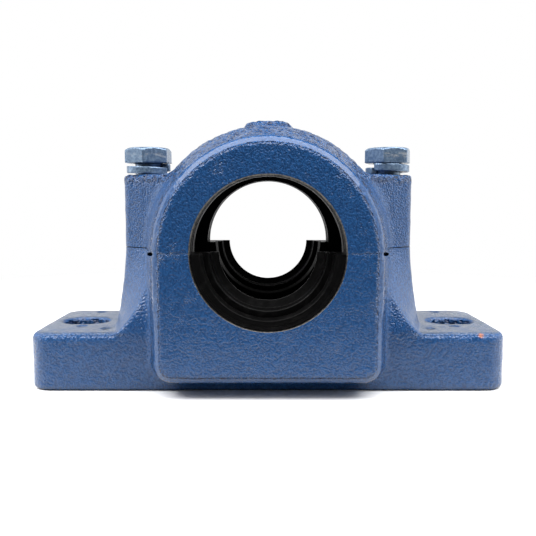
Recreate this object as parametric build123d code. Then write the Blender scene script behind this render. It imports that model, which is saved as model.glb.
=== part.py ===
from build123d import *

import math
import os

# Split pillow block housing, millimetres, +Z up.
# The origin is the bottom centre of the base. X runs along the feet, Y along the shaft.

# Main sizes of the housing
base_length = 205.0
base_depth = 60.0
foot_height = 25.0
axis_height = 60.0
body_depth = 90.0

# Foot slots and foot edges
slot_spacing = 170.0
slot_width = 15.0
slot_length = 20.0
slot_rim_round = 2.0
foot_corner_round = 9.0
foot_top_round = 3.5
foot_bottom_round = 2.0
dimple_radius = 2.6
dimple_depth = 0.9
dimple_near_lug = (71.5, -18.5)
dimple_front = (83.5, -13.5)
dimple_back = (84.0, 22.5)

# Cored hollow under the base, whose roof follows the bearing seat
core_length = 128.0
core_depth = 43.0
core_height = 21.0
core_corner_round = 6.0
core_roof_round = 4.0
seat_wall = 8.0

# Outer form of the body: a barrel that tapers to a smaller nose at each end face
nose_radius = 46.3
nose_bevel_width = 3.1
nose_bevel_depth = 2.6
nose_edge_round = 0.6
nose_bevel_round = 2.5
barrel_radius = 53.4
barrel_length = 32.0
barrel_blend_round = 25.0
nose_underside = 7.2
nose_corner_round = 7.3

# Lugs that carry the cap bolts
bolt_spacing = 109.2
lug_reach = 10.7
lug_height = 32.4
lug_flat = 10.0
lug_root = 28.0
lug_root_inset = 3.0
cap_root_inset = 14.0
lug_outer_round = 6.0
lug_top_round = 1.5
lug_foot_flare = 3.8
lug_root_flare = 12.6
lug_foot_flat = 16.0
lug_edge_round = 1.5
cast_fillet = 3.0
cap_flank_fillet = 8.0

# Cast boss on top of the cap
boss_rise = 2.6
boss_draft = 33.7
boss_top_radius = 9.6
boss_edge_round = 2.2

# Bearing seat, cored space beside it and end walls
seat_diameter = 90.0
seat_width = 41.0
cavity_bore = 82.0
cavity_corner_round = 3.0
end_wall = 15.0
end_bore = 61.6
end_bore_chamfer = 0.7
seal_setback = 0.5
groove_bore = 68.0
groove_width = 3.4

# Joint between base and cap
notch_width = 6.0
notch_height = 1.8
notch_drop = 0.35
notch_side = 48.6
notch_end = 22.0

# Locating pins pressed into the base and free in the cap
pin_diameter = 4.0
pin_length = 10.0
pin_side = 50.3
pin_offset = 11.3
pin_chamfer = 0.4
pin_clearance = 0.05

# Cap bolts, standing a few turns proud on open spring washers
bolt_diameter = 12.0
bolt_hole = 13.5
bolt_across_flats = 19.0
bolt_head = 6.9
bolt_face_diameter = 18.0
bolt_chamfer_angle = 30.0
bolt_length = 60.0
bolt_point_chamfer = 1.2
thread_clearance = 0.1
thread_depth = 28.0
washer_bore = 12.8
washer_wire_width = 3.5
washer_wire_height = 3.2
washer_free_height = 5.1
washer_cut_angle = 7.0
washer_clearance = 0.1
left_corner_turn = -93.5
right_corner_turn = -108.5
left_washer_cut = -18.0
right_washer_cut = 218.5

# Rubber seal halves in the lower half of each end wall
seal_clearance = 0.15
seal_band_radius = 26.8
seal_ridge_radius = 25.7
seal_ridge_depth = 2.6
seal_channel_radius = 27.6
seal_channel_start = 3.4
seal_channel_end = 7.2
seal_ring_radius = 23.7
seal_lip_radius = 20.4
seal_lip_thickness = 1.8
seal_lip_edge = 0.6
seal_lip_round = 0.2
seal_edge_round = 0.4
seal_channel_round = 0.8
seal_panel_inner = 27.2
seal_panel_outer = 29.3
seal_panel_depth = 0.35
seal_panel_start = -28.5
seal_panel_sweep = 130.0

# Sizes that follow from the ones above
half_body = body_depth / 2
half_base = base_depth / 2
half_barrel = barrel_length / 2
bolt_side = bolt_spacing / 2
lug_side = bolt_side + lug_reach
lug_top = axis_height + lug_height
boss_top = axis_height + barrel_radius + boss_rise
nose_slope = (barrel_radius - nose_radius) / (half_body - nose_bevel_depth - half_barrel)
seal_length = end_wall - seal_setback
seal_outer = end_bore / 2 - seal_clearance
head_underside = lug_top + washer_clearance + washer_free_height + washer_clearance
cutter_margin = 5.0

# How near an edge lies to the surface that it is picked by
pick_gap = 0.4

shaft_line = Axis((0, 0, axis_height), (0, 1, 0))


def each_side(shape):
    """A shape and its mirror image across the middle."""
    return shape + mirror(shape, about=Plane.YZ)


def flank_face(inner):
    """Plan section of one side of the body, from x = inner out to its rounded outline."""
    half = [
        (barrel_radius, half_barrel, barrel_blend_round),
        (nose_radius, half_body - nose_bevel_depth, nose_bevel_round),
        (nose_radius - nose_bevel_width, half_body, nose_edge_round),
        (inner, half_body, 0),
    ]
    corners = [(x, -y, corner_round) for x, y, corner_round in reversed(half)] + half
    outline = FilletPolyline(
        [(x, y) for x, y, _ in corners],
        radius=[corner_round for _, _, corner_round in corners],
        close=True,
    )
    return make_face(outline)


def upper_body():
    """Half barrel over the shaft."""
    section = Pos(0, 0, axis_height) * flank_face(0)
    return revolve(section, axis=Axis((0, 0, axis_height), (0, -1, 0)), revolution_arc=180)


def lower_body():
    """Straight-sided lower half, with the same edge carried round its bottom corners."""
    corner_x = nose_radius - nose_corner_round
    corner_z = nose_underside + nose_corner_round
    side_height = axis_height - corner_z
    section = Pos(0, 0, corner_z) * flank_face(corner_x)
    side = extrude(section, amount=side_height, dir=(0, 0, 1))
    corner_line = Axis((corner_x, 0, corner_z), (0, 1, 0))
    corner = revolve(section, axis=corner_line, revolution_arc=90)
    side = side + corner
    bottom_section = section.rotate(corner_line, 90)
    bottom = extrude(bottom_section, amount=2 * corner_x, dir=(-1, 0, 0))
    core = Pos(0, 0, corner_z) * Box(
        2 * corner_x, body_depth, side_height, align=(Align.CENTER, Align.CENTER, Align.MIN)
    )
    body = core + side + mirror(side, about=Plane.YZ) + bottom
    below_ground = Box(
        base_length, body_depth, foot_height, align=(Align.CENTER, Align.CENTER, Align.MAX)
    )
    return body - below_ground


def foot_slab():
    """Flat base with rounded plan corners and a soft-rimmed slot through each foot."""
    outline = RectangleRounded(base_length, base_depth, foot_corner_round)
    slab = extrude(outline, amount=foot_height)
    slab = fillet(slab.edges().group_by(Axis.Z)[0], foot_bottom_round)
    slab = fillet(slab.edges().group_by(Axis.Z)[-1], foot_top_round)
    slot = Pos(slot_spacing / 2, 0) * extrude(
        SlotOverall(slot_length, slot_width), amount=foot_height
    )
    slab = slab - each_side(slot)
    rims = slab.edges().group_by(Axis.Z)[-1].filter_by(
        lambda edge: abs(edge.center().Y) < slot_width and edge.length < 2 * slot_length
    )
    return fillet(rims, slot_rim_round)


def lug_section(height, side, flat, root_x, root):
    """Plan section of a lug: narrow outside, wide where it joins the barrel."""
    inner = seat_diameter / 2 - lug_reach
    outline = FilletPolyline(
        (inner, -root / 2),
        (root_x, -root / 2),
        (side, -flat / 2),
        (side, flat / 2),
        (root_x, root / 2),
        (inner, root / 2),
        radius=[0, lug_edge_round, lug_outer_round, lug_outer_round, lug_edge_round, 0],
        close=True,
    )
    return Pos(0, 0, height) * make_face(outline)


def root_place():
    """Where a lug's front face meets the barrel."""
    return bolt_side - lug_root_inset


def upper_lug():
    """Bolt lug of the cap, its sides running on into the barrel, with its top edge rounded."""
    side_slope = (lug_root - lug_flat) / (lug_side - root_place())
    root = lug_root + (cap_root_inset - lug_root_inset) * side_slope
    section = lug_section(axis_height, lug_side, lug_flat, bolt_side - cap_root_inset, root)
    lug = extrude(section, amount=lug_top - axis_height, dir=(0, 0, 1))
    return fillet(lug.edges().group_by(Axis.Z)[-1], lug_top_round)


def flank_reach(y):
    """Distance of the body's flank from the shaft line at a place along it."""
    return barrel_radius - max(0, abs(y) - half_barrel) * nose_slope


def on_cap_flank(edge):
    """Whether an edge is where the side of an upper lug leaves the barrel."""
    centre, size = edge.center(), edge.bounding_box().size
    radius = math.hypot(centre.X, centre.Z - axis_height)
    beside = lug_flat / 2 < abs(centre.Y) < half_base and size.Z > lug_top_round
    raised = centre.Z > axis_height + pick_gap
    return beside and raised and abs(radius - flank_reach(centre.Y)) < pick_gap


def upper_casting():
    """Outside of the cap, with cast fillets where the lugs and the boss leave the barrel."""
    body = upper_body() + each_side(upper_lug())
    body = fillet(body.edges().filter_by(on_cap_flank), cap_flank_fillet)
    body = body + top_boss()
    return fillet(body.edges().filter_by(on_boss_foot), cast_fillet)


def lower_lug():
    """Bolt lug of the base, spreading down into the full depth of the foot."""
    rise = axis_height - foot_height
    # Each row: share of the rise, share of the outward flare, share of the spread in depth.
    stations = [(1.0, 0.0, 0.0), (0.52, 0.32, 0.6), (0.2, 0.72, 0.9), (0.0, 1.0, 1.0)]
    sections = []
    for up, flare, spread in stations:
        root = lug_root + (base_depth - lug_root) * spread
        root_x = root_place() + lug_root_flare * flare**2
        side = lug_side + lug_foot_flare * flare
        flat = lug_flat + (lug_foot_flat - lug_flat) * flare
        sections.append(lug_section(foot_height + rise * up, side, flat, root_x, root))
    skirt = extrude(sections[-1], amount=2 * foot_top_round, dir=(0, 0, -1))
    return loft(sections) + skirt


def boss_radius(height):
    """Radius of the boss's tapered side at a height."""
    return boss_top_radius + (boss_top - height) * math.tan(math.radians(boss_draft))


def on_boss_foot(edge):
    """Whether an edge is where the boss leaves the barrel."""
    centre = edge.center()
    on_side = abs(math.hypot(centre.X, centre.Y) - boss_radius(centre.Z)) < pick_gap
    return on_side and centre.Z < boss_top - boss_rise + pick_gap


def top_boss():
    """Round cast boss with a tapered side, rooted below the barrel's skin."""
    root = boss_top - boss_rise - cutter_margin
    profile = FilletPolyline(
        (0, root),
        (boss_radius(root), root),
        (boss_top_radius, boss_top),
        (0, boss_top),
        radius=[0, 0, boss_edge_round, 0],
        close=True,
    )
    return revolve(Plane.XZ * make_face(profile), axis=Axis.Z)


def bore_cutter():
    """Everything turned or cored along the shaft line: seat, cored spaces, grooves and end bores."""
    seat, cavity = seat_diameter / 2, cavity_bore / 2
    opening, groove = end_bore / 2, groove_bore / 2
    wall_inside = half_body - end_wall
    groove_inside = half_body - (seal_length + groove_width) / 2
    groove_outside = groove_inside + groove_width
    cavity_round = min(cavity_corner_round, (wall_inside - seat_width / 2) / 2)
    half = [
        (seat, seat_width / 2, 0),
        (cavity, seat_width / 2, 0),
        (cavity, wall_inside, cavity_round),
        (opening, wall_inside, 0),
        (opening, groove_inside, 0),
        (groove, groove_inside, 0),
        (groove, groove_outside, 0),
        (opening, groove_outside, 0),
        (opening, half_body - end_bore_chamfer, 0),
        (opening + end_bore_chamfer + cutter_margin, half_body + cutter_margin, 0),
        (0, half_body + cutter_margin, 0),
    ]
    corners = [(r, -y, corner_round) for r, y, corner_round in reversed(half)] + half
    profile = FilletPolyline(
        [(r, y) for r, y, _ in corners],
        radius=[corner_round for _, _, corner_round in corners],
        close=True,
    )
    return revolve(Pos(0, 0, axis_height) * make_face(profile), axis=shaft_line)


def on_nose_root(edge):
    """Whether an edge is where the nose leaves the upright faces of the base."""
    centre, size = edge.center(), edge.bounding_box().size
    on_face = abs(abs(centre.Y) - half_base) < pick_gap
    inside = abs(centre.X) < barrel_radius and centre.Z > foot_bottom_round + pick_gap
    return on_face and inside and centre.Z + size.Z / 2 < foot_height + pick_gap


def on_flank(edge):
    """Whether an edge is where a lower lug leaves the flank of the body."""
    centre = edge.center()
    beside = lug_root / 2 - pick_gap < abs(centre.Y) < half_base
    upright = foot_height < centre.Z < axis_height - pick_gap
    return beside and upright and abs(abs(centre.X) - flank_reach(centre.Y)) < pick_gap


def lower_casting():
    """Outside of the base, with cast fillets round the nose and the lugs."""
    body = foot_slab() + lower_body() + each_side(lower_lug())
    roots = body.edges().filter_by(lambda edge: on_nose_root(edge) or on_flank(edge))
    return fillet(roots, cast_fillet)


def foot_dimples():
    """Small cast centre marks on the feet."""
    ball = dimple_radius**2 / (2 * dimple_depth) + dimple_depth / 2
    marks = Part()
    for x, y in (dimple_near_lug, dimple_front, dimple_back):
        marks += Pos(x, y, foot_height + ball - dimple_depth) * Sphere(ball)
    return each_side(marks)


def underside_core():
    """Hollow under the base that leaves an even wall below the bearing seat."""
    outline = RectangleRounded(core_length, core_depth, core_corner_round)
    hollow = extrude(outline, amount=core_height)
    hollow = fillet(hollow.edges().group_by(Axis.Z)[-1], core_roof_round)
    seat_outside = Cylinder(seat_diameter / 2 + seat_wall, body_depth, rotation=(90, 0, 0))
    return hollow - Pos(0, 0, axis_height) * seat_outside


def pry_notches():
    """Four shallow slots at the joint, between nose and lug, for a lever."""
    outline = Plane.XZ * Ellipse(notch_width / 2, notch_height / 2)
    depth = half_body - notch_end
    notch = extrude(outline, amount=depth, dir=(0, -1, 0))
    notch = Pos(notch_side, -notch_end, axis_height - notch_drop) * notch
    one_side = notch + mirror(notch, about=Plane.XZ)
    return each_side(one_side)


def bolt_holes(diameter, bottom, top):
    """One round hole on each cap bolt's line."""
    hole = Pos(bolt_side, 0, bottom) * Cylinder(
        diameter / 2, top - bottom, align=(Align.CENTER, Align.CENTER, Align.MIN)
    )
    return each_side(hole)


def pin_places():
    """The two pins stand on opposite corners, so the cap fits one way round."""
    return [(-pin_side, -pin_offset), (pin_side, pin_offset)]


def pin_holes(clearance):
    """Holes for the locating pins, equally deep in base and cap."""
    holes = Part()
    for x, y in pin_places():
        holes += Pos(x, y, axis_height) * Cylinder(
            pin_diameter / 2 + clearance, pin_length + 2 * clearance
        )
    return holes


def housing_base():
    """Lower casting: feet, lower body and lower lugs, bored and drilled."""
    body = lower_casting() - bore_cutter()
    body = body - foot_dimples() - underside_core() - pry_notches()
    hole_bottom = axis_height - thread_depth
    body = body - bolt_holes(
        bolt_diameter + 2 * thread_clearance, hole_bottom, axis_height + cutter_margin
    )
    return body - pin_holes(pin_clearance)


def housing_cap():
    """Upper casting: half barrel, upper lugs and boss, bored and drilled."""
    body = upper_casting() - bore_cutter() - pry_notches()
    body = body - bolt_holes(bolt_hole, axis_height - cutter_margin, lug_top + cutter_margin)
    return body - pin_holes(2 * pin_clearance)


def cap_bolt(side, corner_turn):
    """Hexagon head bolt; its thread is a plain round bar of the outside diameter."""
    corner_radius = bolt_across_flats / math.sqrt(3)
    hexagon = RegularPolygon(corner_radius, 6, rotation=corner_turn)
    head = extrude(hexagon, amount=bolt_head)
    face_radius = bolt_face_diameter / 2
    turned_radius = corner_radius + cutter_margin
    drop = (turned_radius - face_radius) * math.tan(math.radians(bolt_chamfer_angle))
    turned = Polyline(
        (0, 0),
        (turned_radius, 0),
        (turned_radius, bolt_head - drop),
        (face_radius, bolt_head),
        (0, bolt_head),
        close=True,
    )
    head = head & revolve(Plane.XZ * make_face(turned), axis=Axis.Z)
    shank = Cylinder(
        bolt_diameter / 2, bolt_length, align=(Align.CENTER, Align.CENTER, Align.MAX)
    )
    shank = chamfer(shank.edges().group_by(Axis.Z)[0], bolt_point_chamfer)
    return Pos(side * bolt_side, 0, head_underside) * (head + shank)


def spring_washer(side, cut):
    """Open split washer: one left-hand turn of rectangular wire."""
    mean_radius = washer_bore / 2 + washer_wire_width / 2
    rise = washer_free_height - washer_wire_height
    turn = (360 - washer_cut_angle) / 360
    path = Helix(rise / turn, rise, mean_radius, lefthand=True)
    wire = Plane(origin=path @ 0, x_dir=(1, 0, 0), z_dir=path % 0) * Rectangle(
        washer_wire_width, washer_wire_height
    )
    coil = sweep(wire, path=path, is_frenet=True)
    base = lug_top + washer_clearance + washer_wire_height / 2
    start = cut - washer_cut_angle / 2
    return Pos(side * bolt_side, 0, base) * Rot(0, 0, start) * coil


def seal_profile():
    """Section of a seal half, from its outer face inwards: depth along Y, radius along X."""
    rib_start = (seal_length - groove_width) / 2 + seal_clearance
    rib_end = (seal_length + groove_width) / 2 - seal_clearance
    rib_radius = groove_bore / 2 - seal_clearance
    lip_start = seal_length - seal_lip_thickness
    points = [
        (seal_outer, 0, 0),
        (seal_outer, rib_start, 0),
        (rib_radius, rib_start, 0),
        (rib_radius, rib_end, 0),
        (seal_outer, rib_end, 0),
        (seal_outer, seal_length, seal_edge_round),
        (seal_lip_radius, seal_length, seal_lip_round),
        (seal_lip_radius, seal_length - seal_lip_edge, seal_lip_round),
        (seal_ring_radius, lip_start, seal_edge_round),
        (seal_ring_radius, seal_channel_end, seal_channel_round),
        (seal_channel_radius, seal_channel_end, seal_edge_round),
        (seal_channel_radius, seal_channel_start, seal_edge_round),
        (seal_ridge_radius, seal_ridge_depth, seal_edge_round),
        (seal_band_radius, 0, seal_edge_round),
    ]
    return FilletPolyline(
        [(r, depth) for r, depth, _ in points],
        radius=[corner_round for _, _, corner_round in points],
        close=True,
    )


def seal_lower_half(face_y):
    """Half ring below the joint, held by its rib; face_y is the Y of its outer face."""
    face = Pos(0, face_y, axis_height) * make_face(seal_profile())
    ring = revolve(face, axis=shaft_line, revolution_arc=180)
    panel_middle = (seal_panel_inner + seal_panel_outer) / 2
    panel = Pos(panel_middle, face_y, axis_height) * Rectangle(
        seal_panel_outer - seal_panel_inner, 2 * seal_panel_depth
    )
    panel = panel.rotate(shaft_line, -seal_panel_start)
    ring = ring - revolve(panel, axis=shaft_line, revolution_arc=seal_panel_sweep)
    top_trim = Pos(0, face_y, axis_height) * Box(
        2 * groove_bore, 4 * seal_length, 2 * seal_clearance
    )
    return ring - top_trim


def locating_pin(place):
    """Plain dowel half in the base and half in the cap."""
    x, y = place
    pin = Cylinder(pin_diameter / 2, pin_length)
    pin = chamfer(pin.edges().filter_by(GeomType.CIRCLE), pin_chamfer)
    return Pos(x, y, axis_height) * pin


def main():
    left_pin, right_pin = pin_places()
    pieces = {
        "housing_base": housing_base(),
        "housing_cap": housing_cap(),
        "cap_bolt_left": cap_bolt(-1, left_corner_turn),
        "cap_bolt_right": cap_bolt(1, right_corner_turn),
        "spring_washer_left": spring_washer(-1, left_washer_cut),
        "spring_washer_right": spring_washer(1, right_washer_cut),
        "seal_half_front": seal_lower_half(-half_body),
        "seal_half_back": seal_lower_half(half_body - seal_length),
        "locating_pin_left": locating_pin(left_pin),
        "locating_pin_right": locating_pin(right_pin),
    }
    os.makedirs("parts", exist_ok=True)
    for name, piece in pieces.items():
        export_step(piece, f"parts/{name}.step")


main()
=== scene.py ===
import math

import bmesh
import bpy
import numpy as np
from mathutils import Matrix, Vector, noise


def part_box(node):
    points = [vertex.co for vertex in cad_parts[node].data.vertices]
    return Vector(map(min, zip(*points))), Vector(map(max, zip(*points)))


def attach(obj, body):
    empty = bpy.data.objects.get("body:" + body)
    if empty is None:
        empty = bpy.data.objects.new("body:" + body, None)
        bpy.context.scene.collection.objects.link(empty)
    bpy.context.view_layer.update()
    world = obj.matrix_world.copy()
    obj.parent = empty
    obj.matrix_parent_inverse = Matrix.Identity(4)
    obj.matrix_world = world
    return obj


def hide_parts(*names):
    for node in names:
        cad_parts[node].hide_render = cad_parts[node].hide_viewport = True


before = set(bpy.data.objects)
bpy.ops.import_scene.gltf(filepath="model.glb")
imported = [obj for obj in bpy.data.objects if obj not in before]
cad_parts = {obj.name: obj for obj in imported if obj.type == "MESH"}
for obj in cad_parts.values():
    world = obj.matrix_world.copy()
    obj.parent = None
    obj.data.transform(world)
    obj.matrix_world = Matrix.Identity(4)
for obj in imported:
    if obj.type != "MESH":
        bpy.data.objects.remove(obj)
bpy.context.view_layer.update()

# All lengths are in metres: x lies across the shaft, y along it, z up.

# Places on the part that the frame tells
joint_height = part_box("housing_base")[1].z
end_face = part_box("housing_base")[1].y
bolt_side = (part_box("cap_bolt_right")[0].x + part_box("cap_bolt_right")[1].x) / 2
bolt_head_middle = (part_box("spring_washer_right")[1].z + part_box("cap_bolt_right")[1].z) / 2
lug_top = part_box("spring_washer_right")[0].z

# Half of the bore along the shaft line, from the middle outwards: place along it, radius
bore_half = [
    (0.0, 0.045),
    (0.0205, 0.045),
    (0.0205, 0.041),
    (0.0270, 0.041),
    (0.0285, 0.0406),
    (0.0296, 0.0395),
    (0.0300, 0.0380),
    (0.0300, 0.0308),
    (0.03605, 0.0308),
    (0.03605, 0.0340),
    (0.03945, 0.0340),
    (0.03945, 0.0308),
    (0.0443, 0.0308),
    (0.0500, 0.0365),
]
bore_segments = 160
wall_inside = 0.030
seat_reach = 0.0456
opening_reach = 0.0315
groove_reach = 0.0345

# Bolt holes: radius in the base and in the cap, bottom, and how far past the lug they are cut
thread_reach = 0.0061
clearance_reach = 0.00675
hole_bottom = 0.032
hole_past_lug = 0.005
hole_segments = 48

# Marks in the feet: dimples and a chip in the paint, with the inner and outer reach of each stain
foot_height = 0.025
dimple_places = [(0.0715, -0.0185), (0.0835, -0.0135), (0.084, 0.0225)]
dimple_ball = 0.0042
dimple_depth = 0.0009
dimple_stain = (0.0008, 0.0022)
chip_place = (0.0905, -0.0287, 0.0238)
chip_reach = (0.0006, 0.0017)

# Notches where the joint meets the noses: ends measured from the joint, and half their section
notch_front = (0.0470, 0.0425, -0.0002)
notch_back = (0.0520, 0.0140, -0.0026)
notch_half = (0.0014, 0.0008)
notch_segments = 32

# Open joint between the lugs, and how far the painted edge draws in along the joint
joint_gap = 0.00036
joint_gap_sides = (0.0508, 0.08)
joint_gap_depth = 0.04
joint_pull = 0.00015

# Cast form: mesh spacing, rounds of smoothing, fillers in the bores, and the size and height
# of the soft waves, lumps and pebbles
skin_voxel = 0.0008
fastener_voxel = 0.0004
skin_soften = (4, 2)
fastener_soften = 3
fillet_radius = 0.0022
crease_rounds = 40
bore_filler_spare = 0.0003
hole_filler_spare = 0.0002
hole_filler_ends = (0.030, 0.0001)
hole_filler_segments = 128
end_margin = 0.001
wave_size, wave_height = 0.007, 0.00013
lump_size, lump_height = 0.0028, 0.00006
pebble_size, pebble_height = 0.0021, 0.00036
sharp_angle = 60

# Where the rough form starts and ends. Pairs are the ends of a soft step.
rough_from_sole = (0.0005, 0.003)
end_rim = (0.004, 0.002)
end_rim_width = 0.003
flank_from = (0.0305, 0.0325)
crown_from = (0.086, 0.092)
pebbles_to = (0.0400, 0.0415)
pebbles_from_sole = (0.004, 0.010)

# Where the paint's grain changes, as steps of distance along (y), aside (x) or height (z)
pebbled_to = (0.0446, 0.0449)
bevel_from = (0.0405, 0.0418)
bevel_to = (0.0441, 0.0445)
face_edge_from = (0.0442, 0.0445)
face_edge_to = (0.0448, 0.04499)
foot_front_from = (0.0285, 0.0290)
foot_aside_from = (0.060, 0.063)
foot_edge_height = 0.0244
foot_edge_reach = (0.0004, 0.0009)
slot_along_to = (0.0078, 0.0084)
slot_aside_from = (0.072, 0.074)
slot_height_to = (0.0235, 0.0245)

# Grain in the paint: size, depth, and its share on the bevels, edges and pebbled faces
grain_size = 0.0008
grain_depth = 0.00045
bevel_grain = 0.1
face_edge_grain = 2.0
foot_edge_grain = 3.0
pebble_share = 6.5

# Slack by which faces are told apart: mating, milled, bore and end faces
joint_slack = 0.00005
sole_slack = 0.0004
wall_slack = 0.0005
end_slack = 0.0008
opening_slack = 0.0002
facing = 0.9

# Camera
camera_distance = 0.2947
camera_height = 0.0817
camera_pitch = math.radians(6.2)
camera_lens = 42.75

# Paint, rubber and metal colours
enamel_blue = (0.018, 0.083, 0.238)
enamel_deep = (0.011, 0.054, 0.163)
# The next colour is painted shade for the hollows between the pebbles.
enamel_hollow_shade = (0.004, 0.018, 0.07)
enamel_dust_and_sheen = (0.12, 0.125, 0.115)
dimple_dark = (0.02, 0.022, 0.025)
chip_rust = (0.42, 0.15, 0.08)
fastener_blue = (0.19, 0.275, 0.385)
fastener_deep = (0.11, 0.175, 0.28)
fastener_worn = (0.5, 0.52, 0.54)
rubber_black = (0.0015, 0.0015, 0.0016)
rubber_bloom = (0.004, 0.0038, 0.0038)
# The next two colours are painted shade inside the bores and in the open joint.
bore_shade_black = (0.004, 0.004, 0.005)
bore_grey = (0.008, 0.008, 0.009)
bare_iron = (0.2, 0.19, 0.175)
dark_iron = (0.09, 0.088, 0.085)
pin_grey = (0.5, 0.5, 0.52)
pin_dark = (0.42, 0.42, 0.44)

# Spacing of the feed marks on milled faces
feed_mark = 0.0006

# Half width of the scuffed band round the bolt heads' facets, as a soft step
scuff_reach = (0.0006, 0.0016)

# Dust and painted sheen on the feet: the tilt and height where it ends, and its least and greatest
# share. The grey lightens what faces up, partly as light from above would.
dust_sheen_tilt = (0.75, 0.97)
dust_sheen_height = (0.03, 0.04)
dust_sheen_share = (0.35, 0.65)

# Studio: sizes and places of the lamps, with their radiance
floor_size = 8.0
floor_drop = 0.0001
floor_white = (0.93, 0.93, 0.93)
floor_fade = (0.16, 0.45)
floor_front = (-0.112, -0.094)
floor_grey = (0.4, 0.4, 0.4)
floor_dark = (0.06, 0.06, 0.06)
room_level = 0.08
room_behind = (-0.2, 0.3)
room_low = (0.3, 0.5)
top_place = (0.0, -0.12, 0.9)
top_size = (2.6, 0.8)
top_radiance = 5.2
front_place = (0.0, -0.62, 0.68)
front_size = (1.0, 0.3)
front_radiance = 1.2
key_place = (0.6, -0.42, 0.75)
key_size = (0.26, 0.26)
key_radiance = (15.0, 11.0)
side_place = (0.95, -0.15, 0.3)
side_size = (0.8, 0.7)
side_radiance = 1.0
strip_place = (1.0, 0.28, 0.3)
strip_size = (0.3, 0.9)
strip_radiance = 1.4


class Graph:
    """A material's or world's node tree, with one call for each node."""

    def __init__(self, owner):
        owner.use_nodes = True
        self.tree = owner.node_tree
        self.tree.nodes.clear()

    def add(self, kind, inputs=None, **settings):
        node = self.tree.nodes.new(kind)
        for name, value in settings.items():
            setattr(node, name, value)
        for name, value in (inputs or {}).items():
            self.feed(node.inputs[name], value)
        return node

    def feed(self, socket, value):
        if isinstance(value, bpy.types.NodeSocket):
            self.tree.links.new(value, socket)
        elif isinstance(value, tuple) and len(value) == 3 and socket.type == "RGBA":
            socket.default_value = (*value, 1.0)
        else:
            socket.default_value = value

    def math(self, operation, a, b=0.0):
        return self.add("ShaderNodeMath", {0: a, 1: b}, operation=operation).outputs[0]

    def product(self, value, *others):
        for other in others:
            value = self.math("MULTIPLY", value, other)
        return value

    def distance(self, a, b):
        return self.math("ABSOLUTE", self.math("SUBTRACT", a, b))

    def split(self, vector):
        return self.add("ShaderNodeSeparateXYZ", {"Vector": vector}).outputs

    def ramp(self, value, low, high, to_low=0.0, to_high=1.0):
        """A smooth step from to_low to to_high as value goes from low to high."""
        inputs = {
            "Value": value,
            "From Min": low,
            "From Max": high,
            "To Min": to_low,
            "To Max": to_high,
        }
        return self.add("ShaderNodeMapRange", inputs, interpolation_type="SMOOTHSTEP").outputs[0]

    def past(self, value, step):
        """0 before a soft step, 1 past it."""
        return self.ramp(value, *step)

    def before(self, value, step):
        """1 before a soft step, 0 past it."""
        return self.ramp(value, *step, 1.0, 0.0)

    def mix(self, share, a, b):
        node = self.add("ShaderNodeMix", data_type="RGBA")
        self.feed(node.inputs["Factor"], share)
        self.feed(node.inputs[6], a)
        self.feed(node.inputs[7], b)
        return node.outputs[2]

    def near(self, place, centre, step):
        """1 round a point, 0 past a soft step of distance from it."""
        distance = self.add("ShaderNodeVectorMath", {0: place, 1: centre}, operation="DISTANCE")
        return self.before(distance.outputs["Value"], step)

    def place(self):
        return self.add("ShaderNodeTexCoord").outputs["Object"]

    def normal(self):
        return self.add("ShaderNodeNewGeometry").outputs["Normal"]

    def noise(self, place, size, detail=2.0, roughness=0.5):
        inputs = {"Vector": place, "Scale": 1 / size, "Detail": detail, "Roughness": roughness}
        return self.add("ShaderNodeTexNoise", inputs).outputs["Fac"]

    def bump(self, height, depth):
        return self.add("ShaderNodeBump", {"Height": height, "Distance": depth}).outputs["Normal"]

    def shader(self, colour, roughness, normal, **values):
        inputs = {"Base Color": colour, "Roughness": roughness, "Normal": normal}
        inputs.update({name.replace("_", " "): value for name, value in values.items()})
        return self.add("ShaderNodeBsdfPrincipled", inputs).outputs[0]

    def surface(self, shader):
        output = self.add("ShaderNodeOutputMaterial")
        self.tree.links.new(shader, output.inputs["Surface"])


def grain_strength(graph, place):
    """How strong the fine grain and the coarse pebbles are.

    The pebbles lie on the barrel, on the noses' flanks and in the slots. The grain is faint on
    the bevels and strong on the edges of the end faces and of the feet's tops.
    """
    split = graph.split(place)
    along = graph.math("ABSOLUTE", split["Y"])
    aside = graph.math("ABSOLUTE", split["X"])
    flank = graph.past(along, flank_from)
    on_barrel = graph.math("MAXIMUM", flank, graph.past(split["Z"], crown_from))
    on_barrel = graph.product(on_barrel, graph.before(along, pebbled_to))
    on_bevel = graph.product(graph.past(along, bevel_from), graph.before(along, bevel_to))
    smooth = graph.ramp(on_bevel, 0.0, 1.0, 1.0, bevel_grain)
    face_edge = graph.product(
        graph.past(along, face_edge_from),
        graph.before(along, face_edge_to),
        face_edge_grain,
    )
    foot_edge = graph.product(
        graph.past(along, foot_front_from),
        graph.past(aside, foot_aside_from),
        graph.before(graph.distance(split["Z"], foot_edge_height), foot_edge_reach),
        foot_edge_grain,
    )
    in_slot = graph.product(
        graph.before(along, slot_along_to),
        graph.past(aside, slot_aside_from),
        graph.before(split["Z"], slot_height_to),
    )
    fine = graph.math("ADD", smooth, graph.math("MAXIMUM", face_edge, foot_edge))
    coarse = graph.product(graph.math("MAXIMUM", on_barrel, in_slot), pebble_share, smooth)
    return fine, coarse


def foot_dust_and_sheen(graph, place):
    """The share of dust and painted sheen, in patches on what faces up on the feet."""
    upright = graph.past(graph.split(graph.normal())["Z"], dust_sheen_tilt)
    low = graph.before(graph.split(place)["Z"], dust_sheen_height)
    patches = graph.ramp(graph.noise(place, 0.004, detail=4.0), 0.35, 0.7, *dust_sheen_share)
    return graph.product(upright, low, patches)


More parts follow.
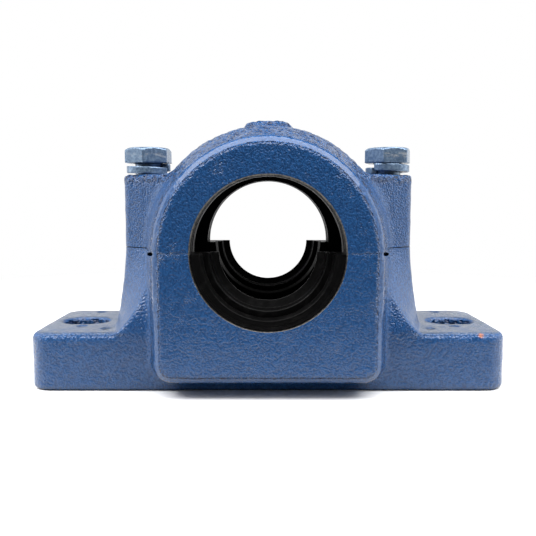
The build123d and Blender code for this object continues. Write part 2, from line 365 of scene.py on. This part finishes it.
def foot_marks(graph, place, grain, tint):
    """The tint with dark dimples in both feet and a chip of rust on the right one."""
    split = graph.split(place)
    sides = {"X": graph.math("ABSOLUTE", split["X"]), "Y": split["Y"], "Z": split["Z"]}
    either_foot = graph.add("ShaderNodeCombineXYZ", sides).outputs[0]
    for x, y in dimple_places:
        spot = graph.near(either_foot, (x, y, foot_height), dimple_stain)
        tint = graph.mix(graph.product(spot, 0.8), tint, dimple_dark)
    chip = graph.product(graph.near(place, chip_place, chip_reach), graph.ramp(grain, 0.35, 0.5))
    return graph.mix(chip, tint, chip_rust)


def cast_enamel():
    """Gloss enamel over the pebbled skin of a sand casting, with dust and painted sheen on its
    feet and painted shade in its pebbles' hollows.
    """
    material = bpy.data.materials.new("cast_enamel")
    graph = Graph(material)
    place = graph.place()
    grain = graph.noise(place, grain_size, detail=1.0)
    pebbles = graph.noise(place, pebble_size)
    fine, coarse = grain_strength(graph, place)
    height = graph.product(graph.math("SUBTRACT", grain, 0.5), fine)
    raised = graph.product(graph.math("SUBTRACT", pebbles, 0.5), coarse)
    height = graph.math("ADD", height, raised)
    tint = graph.mix(graph.ramp(grain, 0.35, 0.62), enamel_deep, enamel_blue)
    # Painted shade: the hollows between the pebbles are darkened as if shadowed.
    hollow_shade = graph.ramp(pebbles, 0.42, 0.52, 0.8, 0.0)
    hollow_shade = graph.product(hollow_shade, graph.ramp(coarse, 0.0, pebble_share))
    tint = graph.mix(hollow_shade, tint, enamel_hollow_shade)
    # Dust and painted sheen: a pale grey over the feet's tops, standing partly for the light they
    # catch from above.
    tint = graph.mix(foot_dust_and_sheen(graph, place), tint, enamel_dust_and_sheen)
    tint = foot_marks(graph, place, grain, tint)
    gloss = graph.ramp(graph.noise(place, 0.006), 0.3, 0.7, 0.1, 0.16)
    graph.surface(graph.shader(tint, gloss, graph.bump(height, grain_depth), IOR=1.5))
    return material


def fastener_enamel():
    """Thin gloss enamel on the bolts and washers, with scuffs on the front facets."""
    material = bpy.data.materials.new("fastener_enamel")
    graph = Graph(material)
    place = graph.place()
    grain = graph.noise(place, 0.0012, detail=3.0)
    level = {"Vector": place, "Scale": (1.0, 1.0, 2.5)}
    stretched = graph.add("ShaderNodeMapping", level).outputs[0]
    scuffs = graph.noise(stretched, 0.0035, detail=5.0, roughness=0.65)
    tint = graph.mix(graph.ramp(grain, 0.35, 0.65), fastener_deep, fastener_blue)
    from_middle = graph.distance(graph.split(place)["Z"], bolt_head_middle)
    front = graph.before(graph.split(graph.normal())["Y"], (-0.9, -0.8))
    band = graph.product(graph.before(from_middle, scuff_reach), front)
    scuffs = graph.product(graph.ramp(scuffs, 0.47, 0.6, 0.0, 0.7), band)
    tint = graph.mix(scuffs, tint, fastener_worn)
    gloss = graph.ramp(grain, 0.3, 0.7, 0.14, 0.22)
    graph.surface(graph.shader(tint, gloss, graph.bump(grain, 0.00016), IOR=1.5, Metallic=0.35))
    return material


def bore_shade():
    """Near-black painted shade inside the bores and in the open joint, with turning marks."""
    material = bpy.data.materials.new("bore_shade_black")
    graph = Graph(material)
    place = graph.place()
    marks = graph.noise(place, 0.0006, detail=3.0)
    tint = graph.mix(graph.ramp(marks, 0.4, 0.7), bore_shade_black, bore_grey)
    gloss = graph.ramp(marks, 0.3, 0.7, 0.45, 0.6)
    graph.surface(graph.shader(tint, gloss, graph.bump(marks, 0.00003), IOR=1.2))
    return material


def milled_iron():
    """Bare milled cast iron of the sole and the joint faces, with feed marks."""
    material = bpy.data.materials.new("milled_iron")
    graph = Graph(material)
    place = graph.place()
    feed = graph.math("SINE", graph.product(graph.split(place)["X"], 2 * math.pi / feed_mark))
    specks = graph.noise(place, 0.0009, detail=4.0)
    tint = graph.mix(graph.ramp(specks, 0.35, 0.65), dark_iron, bare_iron)
    height = graph.math("ADD", graph.product(feed, 0.3), specks)
    gloss = graph.ramp(specks, 0.3, 0.7, 0.35, 0.55)
    graph.surface(graph.shader(tint, gloss, graph.bump(height, 0.00002), Metallic=0.8))
    return material


def rubber():
    """Moulded black rubber with a faint bloom."""
    material = bpy.data.materials.new("seal_rubber")
    graph = Graph(material)
    place = graph.place()
    skin = graph.noise(place, 0.0006, detail=3.0)
    bloom = graph.ramp(graph.noise(place, 0.003, detail=4.0), 0.45, 0.75)
    tint = graph.mix(bloom, rubber_black, rubber_bloom)
    gloss = graph.ramp(bloom, 0.0, 1.0, 0.36, 0.5)
    graph.surface(graph.shader(tint, gloss, graph.bump(skin, 0.00008), IOR=1.22))
    return material


def ground_steel():
    """Ground dowel steel."""
    material = bpy.data.materials.new("ground_steel")
    graph = Graph(material)
    place = graph.place()
    rings = graph.noise(place, 0.0003, detail=2.0)
    gloss = graph.ramp(rings, 0.3, 0.7, 0.25, 0.4)
    tint = graph.mix(rings, pin_grey, pin_dark)
    graph.surface(graph.shader(tint, gloss, graph.bump(rings, 0.00001), Metallic=1.0))
    return material


def add_object(name, mesh):
    obj = bpy.data.objects.new(name, mesh)
    bpy.context.scene.collection.objects.link(obj)
    return obj


def from_bmesh(name, shape):
    mesh = bpy.data.meshes.new(name)
    shape.to_mesh(mesh)
    shape.free()
    return add_object(name, mesh)


def closed_copy(node):
    """A copy of a CAD node's mesh with its face borders joined."""
    shape = bmesh.new()
    shape.from_mesh(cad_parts[node].data)
    bmesh.ops.remove_doubles(shape, verts=shape.verts, dist=1e-7)
    copy = from_bmesh(node + "_copy", shape)
    copy.data.materials.clear()
    return copy


def cylinder(start, end, radius, segments, stretch=(1.0, 1.0)):
    """A closed cylinder between two points, oval if its section is stretched."""
    a, b = Vector(start), Vector(end)
    turn = (b - a).to_track_quat("Z", "Y").to_matrix().to_4x4()
    oval = Matrix.Diagonal((stretch[0], stretch[1], 1.0, 1.0))
    place = Matrix.Translation((a + b) / 2) @ turn @ oval
    shape = bmesh.new()
    bmesh.ops.create_cone(
        shape,
        cap_ends=True,
        segments=segments,
        radius1=radius,
        radius2=radius,
        depth=(b - a).length,
        matrix=place,
    )
    return from_bmesh("cylinder", shape)


def block(low, high):
    low, high = Vector(low), Vector(high)
    place = Matrix.Translation((low + high) / 2) @ Matrix.Diagonal((*(high - low), 1))
    shape = bmesh.new()
    bmesh.ops.create_cube(shape, size=1.0, matrix=place)
    return from_bmesh("block", shape)


def apply(obj):
    """Turns an object's modifiers into its mesh."""
    solved = obj.evaluated_get(bpy.context.evaluated_depsgraph_get())
    mesh = bpy.data.meshes.new_from_object(solved)
    obj.modifiers.clear()
    obj.data = mesh
    return obj


def carve(obj, others):
    """Cuts other closed objects out of one."""
    for other in others:
        modifier = obj.modifiers.new("cut", "BOOLEAN")
        modifier.object = other
        modifier.operation = "DIFFERENCE"
        modifier.solver = "MANIFOLD"
    apply(obj)


def join(name, parts):
    shape = bmesh.new()
    for part in parts:
        shape.from_mesh(part.data)
    return from_bmesh(name, shape)


def voxelled(obj, size):
    modifier = obj.modifiers.new("voxels", "REMESH")
    modifier.mode = "VOXEL"
    modifier.voxel_size = size
    return apply(obj)


def read_points(mesh):
    flat = np.empty(len(mesh.vertices) * 3)
    mesh.vertices.foreach_get("co", flat)
    return flat.reshape(-1, 3)


def write_points(mesh, points):
    mesh.vertices.foreach_set("co", points.ravel())
    mesh.update()


def read_normals(mesh):
    flat = np.empty(len(mesh.vertices) * 3)
    mesh.vertices.foreach_get("normal", flat)
    return flat.reshape(-1, 3)


class Neighbours:
    """Finds how far each point of a mesh lies from the mean of its neighbours."""

    def __init__(self, mesh):
        flat = np.empty(len(mesh.edges) * 2, dtype=np.int64)
        mesh.edges.foreach_get("vertices", flat)
        self.a, self.b = flat.reshape(-1, 2).T
        self.count = len(mesh.vertices)
        self.degree = np.bincount(flat, minlength=self.count)

    def offset(self, points):
        total = np.empty_like(points)
        for k in range(3):
            total[:, k] = np.bincount(self.a, points[self.b, k], self.count)
            total[:, k] += np.bincount(self.b, points[self.a, k], self.count)
        return total / self.degree[:, None] - points


def soften(mesh, rounds):
    """Smooths away the voxel steps without shrinking the form."""
    inward, outward = 0.5, 0.52
    near = Neighbours(mesh)
    points = read_points(mesh)
    for _ in range(rounds):
        points += inward * near.offset(points)
        points -= outward * near.offset(points)
    write_points(mesh, points)


def fill_creases(mesh, spacing, radius, rounds):
    """Fills inner creases until none is tighter than a radius, as a moulded casting has them."""
    near = Neighbours(mesh)
    limit = spacing**2 / radius / 4
    pace = 0.8
    rounds_per_normal = 5
    points = read_points(mesh)
    for step in range(rounds):
        if step % rounds_per_normal == 0:
            write_points(mesh, points)
            normals = read_normals(mesh)
        hollow = (near.offset(points) * normals).sum(1)
        points += pace * np.maximum(hollow - limit, 0)[:, None] * normals
    write_points(mesh, points)


def fade(values, low, high):
    share = np.clip((values - low) / (high - low), 0, 1)
    return share * share * (3 - 2 * share)


def roughen(mesh, layers, share):
    """Moves each point along its normal by layers of soft noise, times its share."""
    points = read_points(mesh)
    height = np.zeros(len(points))
    for size, amount in layers:
        height += amount * np.array([noise.noise(Vector(p) / size) for p in points])
    points += read_normals(mesh) * (height * share)[:, None]
    points[:, 2] = np.maximum(points[:, 2], 0.0)
    write_points(mesh, points)


def shaft_radius(points):
    return np.hypot(points[:, 0], points[:, 2] - joint_height)


def cast_share(points):
    """1 on the rough skin, 0 on the sole and at the rim of each opening."""
    at_end = fade(np.abs(points[:, 1]), end_face - end_rim[0], end_face - end_rim[1])
    past_rim = fade(shaft_radius(points), opening_reach, opening_reach + end_rim_width)
    return (1 - at_end * (1 - past_rim)) * fade(points[:, 2], *rough_from_sole)


def barrel_share(points):
    """1 on the barrel and the noses' flanks, 0 on the bevels, faces, lugs and feet."""
    along = np.abs(points[:, 1])
    flank = np.maximum(fade(along, *flank_from), fade(points[:, 2], *crown_from))
    return flank * (1 - fade(along, *pebbles_to)) * fade(points[:, 2], *pebbles_from_sole)


def discard(objects):
    for obj in objects:
        bpy.data.objects.remove(obj)


def turned(half):
    """A closed solid turned about the shaft line from half of its profile."""
    profile = [(-along, radius) for along, radius in reversed(half)] + half
    turns = [2 * math.pi * k / bore_segments for k in range(bore_segments)]
    shape = bmesh.new()
    rings = []
    for along, radius in profile:
        rings.append([
            shape.verts.new((radius * math.cos(a), along, joint_height + radius * math.sin(a)))
            for a in turns
        ])
    for near, far in zip(rings, rings[1:]):
        for k in range(bore_segments):
            j = (k + 1) % bore_segments
            shape.faces.new((near[k], far[k], far[j], near[j]))
    shape.faces.new(rings[0])
    shape.faces.new(reversed(rings[-1]))
    bmesh.ops.remove_doubles(shape, verts=shape.verts, dist=1e-7)
    bmesh.ops.recalc_face_normals(shape, faces=shape.faces)
    return from_bmesh("turned", shape)


def upright_cylinders(bottom, top, radius, segments):
    """A cylinder at each bolt's place."""
    return [
        cylinder((side, 0, bottom), (side, 0, top), radius, segments)
        for side in (-bolt_side, bolt_side)
    ]


def cast_skin(base, cap):
    """One rough skin over both castings, with their bores and bolt holes filled."""
    inner = [place for place in bore_half if place[0] < end_face - end_margin]
    past_wall = [(along, radius + bore_filler_spare) for along, radius in inner]
    bottom, below_top = hole_filler_ends
    radius = clearance_reach + hole_filler_spare
    fillers = [
        turned([*past_wall, (end_face, opening_reach)]),
        *upright_cylinders(bottom, lug_top - below_top, radius, hole_filler_segments),
    ]
    skin = voxelled(join("cast_skin", [base, cap, *fillers]), skin_voxel)
    discard(fillers)
    soften(skin.data, skin_soften[0])
    fill_creases(skin.data, skin_voxel, fillet_radius, crease_rounds)
    soften(skin.data, skin_soften[1])
    share = cast_share(read_points(skin.data))
    roughen(skin.data, [(wave_size, wave_height), (lump_size, lump_height)], share)
    pebbled = share * barrel_share(read_points(skin.data))
    roughen(skin.data, [(pebble_size, pebble_height)], pebbled)
    return skin


def notch_cutters():
    """Small dark gaps where the joint runs into each flank of the noses."""
    cutters = []
    for side in (-1, 1):
        for end in (-1, 1):
            ends = [(side * x, end * y, joint_height + z) for x, y, z in (notch_front, notch_back)]
            cutters.append(cylinder(*ends, 1.0, notch_segments, notch_half))
    return cutters


def joint_gap_cutters():
    """Thin slabs that part the lugs where base and cap meet."""
    cutters = []
    for side in (-1, 1):
        near, far = sorted(side * x for x in joint_gap_sides)
        low = (near, -joint_gap_depth, joint_height - joint_gap / 2)
        high = (far, joint_gap_depth, joint_height + joint_gap / 2)
        cutters.append(block(low, high))
    return cutters


def dimple_cutters():
    """Balls that press the cast centre marks into the feet."""
    cutters = []
    for side in (-1, 1):
        for x, y in dimple_places:
            centre = (side * x, y, foot_height + dimple_ball - dimple_depth)
            place = Matrix.Translation(centre)
            shape = bmesh.new()
            bmesh.ops.create_uvsphere(
                shape, u_segments=48, v_segments=24, radius=dimple_ball, matrix=place
            )
            cutters.append(from_bmesh("dimple", shape))
    return cutters


def open_joint(obj):
    """Draws in the painted edge where base and cap meet."""
    points = read_points(obj.data)
    normals = read_normals(obj.data)
    on_joint = np.abs(points[:, 2] - joint_height) < 1e-6
    outside = (np.abs(points[:, 0]) > seat_reach) | (
        (np.abs(points[:, 1]) > end_face - end_margin) & (shaft_radius(points) > opening_reach)
    )
    level = normals * (1, 1, 0)
    level /= np.maximum(np.linalg.norm(level, axis=1, keepdims=True), 1e-9)
    moved = (on_joint & outside).astype(float) * joint_pull
    write_points(obj.data, points - level * moved[:, None])


def set_faces(obj, materials, pick):
    """Gives each face its material and its smooth shading."""
    mesh = obj.data
    mesh.materials.clear()
    for material in materials:
        mesh.materials.append(material)
    centres = np.empty(len(mesh.polygons) * 3)
    mesh.polygons.foreach_get("center", centres)
    normals = np.empty(len(mesh.polygons) * 3)
    mesh.polygons.foreach_get("normal", normals)
    chosen = pick(centres.reshape(-1, 3), normals.reshape(-1, 3)).astype(np.int32)
    mesh.polygons.foreach_set("material_index", chosen)
    mesh.polygons.foreach_set("use_smooth", np.ones(len(mesh.polygons), dtype=bool))
    mesh.set_sharp_from_angle(angle=math.radians(sharp_angle))
    mesh.update()


def casting_faces(centres, normals):
    """Which of the castings' materials each face has.

    0 is the enamel, 1 the near-black painted shade of the bores and the open joint, 2 the milled
    iron of the sole, the mating faces and the bore's chamfers.
    """
    radius, along = shaft_radius(centres), np.abs(centres[:, 1])
    from_joint = np.abs(centres[:, 2] - joint_height)
    level = np.abs(normals[:, 2]) > facing
    # Painted shade: the insides of the bores and the walls of the open joint get near-black.
    black = (along < wall_inside + wall_slack) & (radius < seat_reach)
    black |= (along < end_face - end_slack) & (radius < groove_reach)
    black |= (from_joint > joint_slack) & (from_joint < joint_gap) & level
    milled = (centres[:, 2] < sole_slack) & (normals[:, 2] < -facing)
    milled |= (from_joint < joint_slack) & level
    milled |= (radius < opening_reach + opening_slack) & (np.abs(normals[:, 1]) < facing)
    return np.where(black, 1, np.where(milled, 2, 0))


def add_castings(materials):
    """Both castings, cut from one skin so that they meet at the joint without a step."""
    base, cap = closed_copy("housing_base"), closed_copy("housing_cap")
    core = turned(bore_half)
    skin = cast_skin(base, cap)
    marks = [*notch_cutters(), *joint_gap_cutters(), *dimple_cutters()]
    far = 0.2
    halves = {
        "housing_base": ((-far, -far, joint_height), (far, far, far), thread_reach),
        "housing_cap": ((-far, -far, -far), (far, far, joint_height), clearance_reach),
    }
    for node, (low, high, reach) in halves.items():
        other_half = block(low, high)
        holes = upright_cylinders(hole_bottom, lug_top + hole_past_lug, reach, hole_segments)
        piece = add_object("cast_" + node, skin.data.copy())
        carve(piece, [other_half, core, *holes, *marks])
        open_joint(piece)
        set_faces(piece, materials, casting_faces)
        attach(piece, "root")
        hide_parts(node)
        discard([other_half, *holes])
    discard([base, cap, core, skin, *marks])


def add_fastener(node, material):
    """A bolt or washer with the soft edges of thick paint."""
    copy = closed_copy(node)
    piece = voxelled(join("painted_" + node, [copy]), fastener_voxel)
    discard([copy])
    soften(piece.data, fastener_soften)
    set_faces(piece, [material], lambda centres, normals: np.zeros(len(centres)))
    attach(piece, "root")
    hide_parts(node)


def dress(node, material):
    """Gives a CAD node its material."""
    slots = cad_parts[node].data.materials
    slots.clear()
    slots.append(material)


def add_camera():
    camera = bpy.data.cameras.new("camera")
    camera.lens = camera_lens
    camera.sensor_width = 36.0
    holder = add_object("camera", camera)
    holder.location = (0.0, -camera_distance, camera_height)
    holder.rotation_euler = (math.pi / 2 - camera_pitch, 0.0, 0.0)
    bpy.context.scene.camera = holder


def add_floor():
    """Pale paper that keeps the part's shadow and turns plain white further out."""
    half = floor_size / 2
    mesh = bpy.data.meshes.new("floor")
    corners = [(-half, -half, 0), (half, -half, 0), (half, half, 0), (-half, half, 0)]
    mesh.from_pydata(corners, [], [(0, 1, 2, 3)])
    floor = add_object("floor", mesh)
    floor.location.z = -floor_drop
    material = bpy.data.materials.new("floor_paper")
    graph = Graph(material)
    place = graph.place()
    fibres = graph.noise(place, 0.002, detail=3.0)
    path = graph.add("ShaderNodeLightPath").outputs
    seen = path["Is Camera Ray"]
    mirrored = graph.math("MAXIMUM", path["Is Glossy Ray"], path["Is Transmission Ray"])
    behind = graph.past(graph.split(place)["Y"], floor_front)
    near = graph.mix(graph.math("MAXIMUM", seen, mirrored), floor_grey, floor_white)
    tint = graph.mix(graph.math("MAXIMUM", seen, behind), floor_dark, near)
    paper = graph.shader(tint, 0.9, graph.bump(fibres, 0.00002), IOR=1.2)
    white = graph.add("ShaderNodeEmission", {"Color": (1.0, 1.0, 1.0), "Strength": 1.0})
    distance = graph.add("ShaderNodeVectorMath", {0: place}, operation="LENGTH").outputs["Value"]
    open_floor = graph.math("MAXIMUM", seen, graph.product(mirrored, behind))
    share = graph.product(open_floor, graph.past(distance, floor_fade))
    mixed = graph.add("ShaderNodeMixShader", {0: share, 1: paper, 2: white.outputs[0]})
    graph.surface(mixed.outputs[0])
    mesh.materials.append(material)


def add_softbox(name, place, size, radiance):
    """An even lamp, turned towards the part."""
    light = bpy.data.lights.new(name, "AREA")
    light.shape = "RECTANGLE"
    light.size, light.size_y = size
    light.energy = radiance * math.pi * size[0] * size[1]
    holder = add_object(name, light)
    holder.location = place
    aim = Vector((0, 0, joint_height)) - Vector(place)
    holder.rotation_euler = aim.to_track_quat("-Z", "Y").to_euler()


def beside(place, side):
    """A place on the left (-1) or right (1) of the part."""
    return (side * place[0], *place[1:])


def add_room():
    """A dim room with a white wall behind the part, all white to the camera."""
    world = bpy.data.worlds.new("room")
    bpy.context.scene.world = world
    graph = Graph(world)
    direction = graph.add("ShaderNodeTexCoord").outputs["Generated"]
    split = graph.split(direction)
    seen = graph.add("ShaderNodeLightPath").outputs["Is Camera Ray"]
    sweep = graph.product(graph.past(split["Y"], room_behind), graph.before(split["Z"], room_low))
    white = graph.math("MAXIMUM", seen, sweep)
    level = graph.ramp(white, 0.0, 1.0, room_level, 1.0)
    light = graph.add("ShaderNodeBackground", {"Color": (1.0, 1.0, 1.0), "Strength": level})
    output = graph.add("ShaderNodeOutputWorld")
    graph.tree.links.new(light.outputs[0], output.inputs["Surface"])


bpy.context.scene.view_settings.view_transform = "Standard"
add_camera()
add_floor()
add_softbox("top_softbox", top_place, top_size, top_radiance)
add_softbox("front_softbox", front_place, front_size, front_radiance)
for side in (-1, 1):
    add_softbox("side_softbox", beside(side_place, side), side_size, side_radiance)
    add_softbox("strip_softbox", beside(strip_place, side), strip_size, strip_radiance)
for side, radiance in zip((-1, 1), key_radiance):
    add_softbox("key_softbox", beside(key_place, side), key_size, radiance)
add_room()

add_castings([cast_enamel(), bore_shade(), milled_iron()])
bolt_enamel = fastener_enamel()
black_rubber = rubber()
pin_steel = ground_steel()
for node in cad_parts:
    if node.startswith("seal"):
        dress(node, black_rubber)
    elif node.startswith("locating"):
        dress(node, pin_steel)
    elif not node.startswith("housing"):
        add_fastener(node, bolt_enamel)
